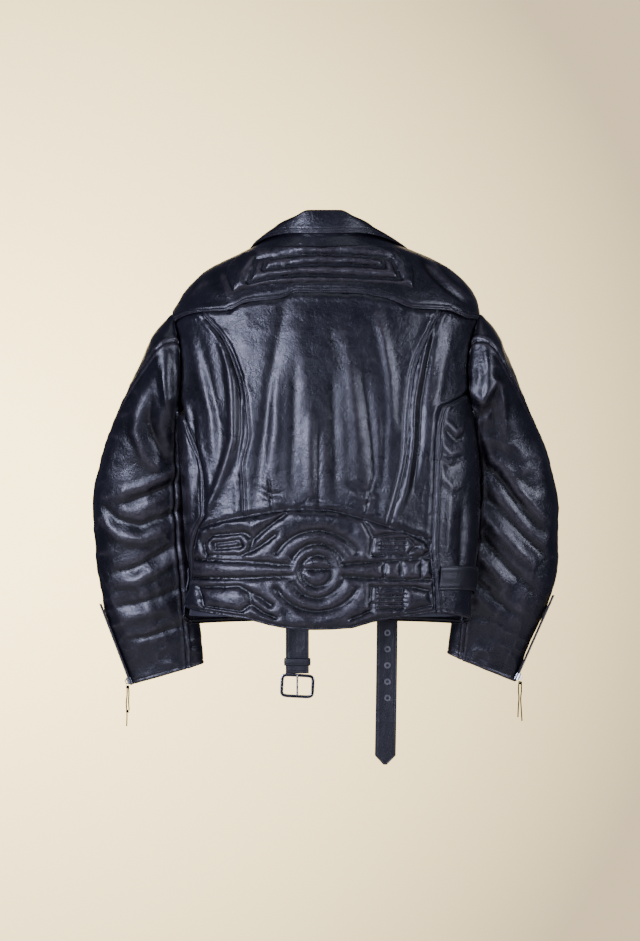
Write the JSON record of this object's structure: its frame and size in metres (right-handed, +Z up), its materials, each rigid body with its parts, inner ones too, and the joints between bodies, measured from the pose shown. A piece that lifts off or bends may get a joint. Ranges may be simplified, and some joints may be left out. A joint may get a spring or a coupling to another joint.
{
  "type": "leather riding jacket",
  "caption": "Black leather riding jacket hanging free, with quilted back pads, asymmetric front zip, half belt with buckle, zipped cuffs and thong pulls.",
  "frame": {"origin": "middle of the back neck seam, where the jacket sits on its hanger", "axes": "+X to the wearer's right, +Y to the wearer's front, +Z up"},
  "size_m": [0.783, 0.2282, 0.9333],
  "materials": {
    "hide": "semi-gloss",
    "trim_leather": "semi-gloss",
    "lace_leather": "matte",
    "lining_cloth": "satin",
    "bright_metal": "polished",
    "dark_metal": "satin"
  },
  "bodies": {
    "root": {"back_centre_panel": "hide", "back_side_panel_left": "hide", "back_side_panel_right": "hide", "back_yoke": "hide", "belt_band_left": "trim_leather", "belt_band_right": "trim_leather", "belt_loops": "trim_leather", "chest_pocket_zip_chain": "bright_metal", "collar_fall": "trim_leather", "collar_stand": "trim_leather", "front_panel_left": "hide", "front_panel_right": "hide", "front_zip_chain": "bright_metal", "hand_pocket_zip_left_chain": "bright_metal", "hand_pocket_zip_right_chain": "bright_metal", "hang_loop": "trim_leather", "kidney_panel": "hide", "lapel_left": "hide", "lapel_right": "hide", "lapel_studs": "bright_metal", "side_panel_left": "hide", "side_panel_right": "hide", "storm_flap": "hide", "torso_lining": "lining_cloth", "upper_back_left": "hide", "upper_back_right": "hide", "upper_front_left": "hide", "upper_front_right": "hide", "upper_lining_left": "lining_cloth", "upper_lining_right": "lining_cloth", "yoke_pad": "hide"},
    "belt_right": {"belt_eyelets": "bright_metal", "belt_tail_right": "trim_leather"},
    "belt_left": {"belt_keeper": "trim_leather", "belt_tail_left": "trim_leather"},
    "buckle_frame": {"buckle_frame": "dark_metal"},
    "buckle_prong": {"buckle_prong": "bright_metal"},
    "chest_pocket_zip_pull": {"chest_pocket_zip_pull": "bright_metal"},
    "chest_pocket_zip_slider": {"chest_pocket_zip_slider": "bright_metal"},
    "forearm_left": {"cuff_zip_left_chain": "bright_metal", "forearm_back_left": "hide", "forearm_front_left": "hide", "forearm_lining_left": "lining_cloth"},
    "cuff_zip_left_slider": {"cuff_zip_left_slider": "bright_metal", "lace_left_long": "lace_leather", "lace_left_short": "lace_leather"},
    "forearm_right": {"cuff_zip_right_chain": "bright_metal", "forearm_back_right": "hide", "forearm_front_right": "hide", "forearm_lining_right": "lining_cloth"},
    "cuff_zip_right_slider": {"cuff_zip_right_slider": "bright_metal", "lace_right_long": "lace_leather", "lace_right_short": "lace_leather"},
    "front_zip_pull": {"front_zip_pull": "bright_metal"},
    "front_zip_slider": {"front_zip_slider": "bright_metal"},
    "hand_pocket_zip_left_pull": {"hand_pocket_zip_left_pull": "bright_metal"},
    "hand_pocket_zip_left_slider": {"hand_pocket_zip_left_slider": "bright_metal"},
    "hand_pocket_zip_right_pull": {"hand_pocket_zip_right_pull": "bright_metal"},
    "hand_pocket_zip_right_slider": {"hand_pocket_zip_right_slider": "bright_metal"}
  },
  "joints": [
    {"name": "front_zip_slide", "type": "slide", "parent": "root", "child": "front_zip_slider", "axis": [-0.1216, 0.0087, -0.9925], "range_m": [0, 0.2922]},
    {"name": "front_zip_pull_swing", "type": "hinge", "parent": "front_zip_slider", "child": "front_zip_pull", "pos_m": [0.06096, 0.16671, -0.30898], "axis": [0.9914, -0.0486, -0.1219], "range_deg": [0, 150]},
    {"name": "hand_pocket_zip_left_slide", "type": "slide", "parent": "root", "child": "hand_pocket_zip_left_slider", "axis": [-0.384, -0.1553, -0.9102], "range_m": [0, 0.1326]},
    {"name": "hand_pocket_zip_left_pull_swing", "type": "hinge", "parent": "hand_pocket_zip_left_slider", "child": "hand_pocket_zip_left_pull", "pos_m": [-0.08746, 0.15894, -0.42023], "axis": [0.866, 0.2815, -0.4134], "range_deg": [0, 150]},
    {"name": "hand_pocket_zip_right_slide", "type": "slide", "parent": "root", "child": "hand_pocket_zip_right_slider", "axis": [0.3229, -0.1163, -0.9393], "range_m": [0, 0.1283]},
    {"name": "hand_pocket_zip_right_pull_swing", "type": "hinge", "parent": "hand_pocket_zip_right_slider", "child": "hand_pocket_zip_right_pull", "pos_m": [0.12916, 0.1568, -0.42011], "axis": [0.8946, -0.2866, 0.343], "range_deg": [0, 150]},
    {"name": "chest_pocket_zip_slide", "type": "slide", "parent": "root", "child": "chest_pocket_zip_slider", "axis": [-0.905, -0.2566, 0.3394], "range_m": [0, 0.0804]},
    {"name": "chest_pocket_zip_pull_swing", "type": "hinge", "parent": "chest_pocket_zip_slider", "child": "chest_pocket_zip_pull", "pos_m": [-0.07305, 0.16305, -0.35231], "axis": [-0.3183, -0.1209, -0.9402], "range_deg": [0, 150]},
    {"name": "elbow_left", "type": "hinge", "parent": "root", "child": "forearm_left", "pos_m": [-0.30355, 0.10018, -0.41872], "axis": [1, 0, 0], "range_deg": [0, 45]},
    {"name": "cuff_zip_left_slide", "type": "slide", "parent": "forearm_left", "child": "cuff_zip_left_slider", "axis": [-0.3467, -0.0732, 0.9351], "range_m": [0, 0.1236]},
    {"name": "elbow_right", "type": "hinge", "parent": "root", "child": "forearm_right", "pos_m": [0.3267, 0.10225, -0.42054], "axis": [1, 0, 0], "range_deg": [0, 45]},
    {"name": "cuff_zip_right_slide", "type": "slide", "parent": "forearm_right", "child": "cuff_zip_right_slider", "axis": [0.3976, -0.0672, 0.9151], "range_m": [0, 0.1346]},
    {"name": "belt_left_swing", "type": "hinge", "parent": "root", "child": "belt_left", "pos_m": [-0.039, 0.1725, -0.572], "axis": [1, 0, 0], "range_deg": [0, 60]},
    {"name": "belt_right_swing", "type": "hinge", "parent": "root", "child": "belt_right", "pos_m": [0.116, 0.1725, -0.572], "axis": [1, 0, 0], "range_deg": [0, 60]},
    {"name": "buckle_swing", "type": "hinge", "parent": "belt_left", "child": "buckle_frame", "pos_m": [-0.039, 0.1725, -0.7452], "axis": [1, 0, 0], "range_deg": [-35, 60]},
    {"name": "buckle_prong_swing", "type": "hinge", "parent": "buckle_frame", "child": "buckle_prong", "pos_m": [-0.039, 0.1725, -0.7452], "axis": [-1, 0, 0], "range_deg": [0, 30]}
  ]
}
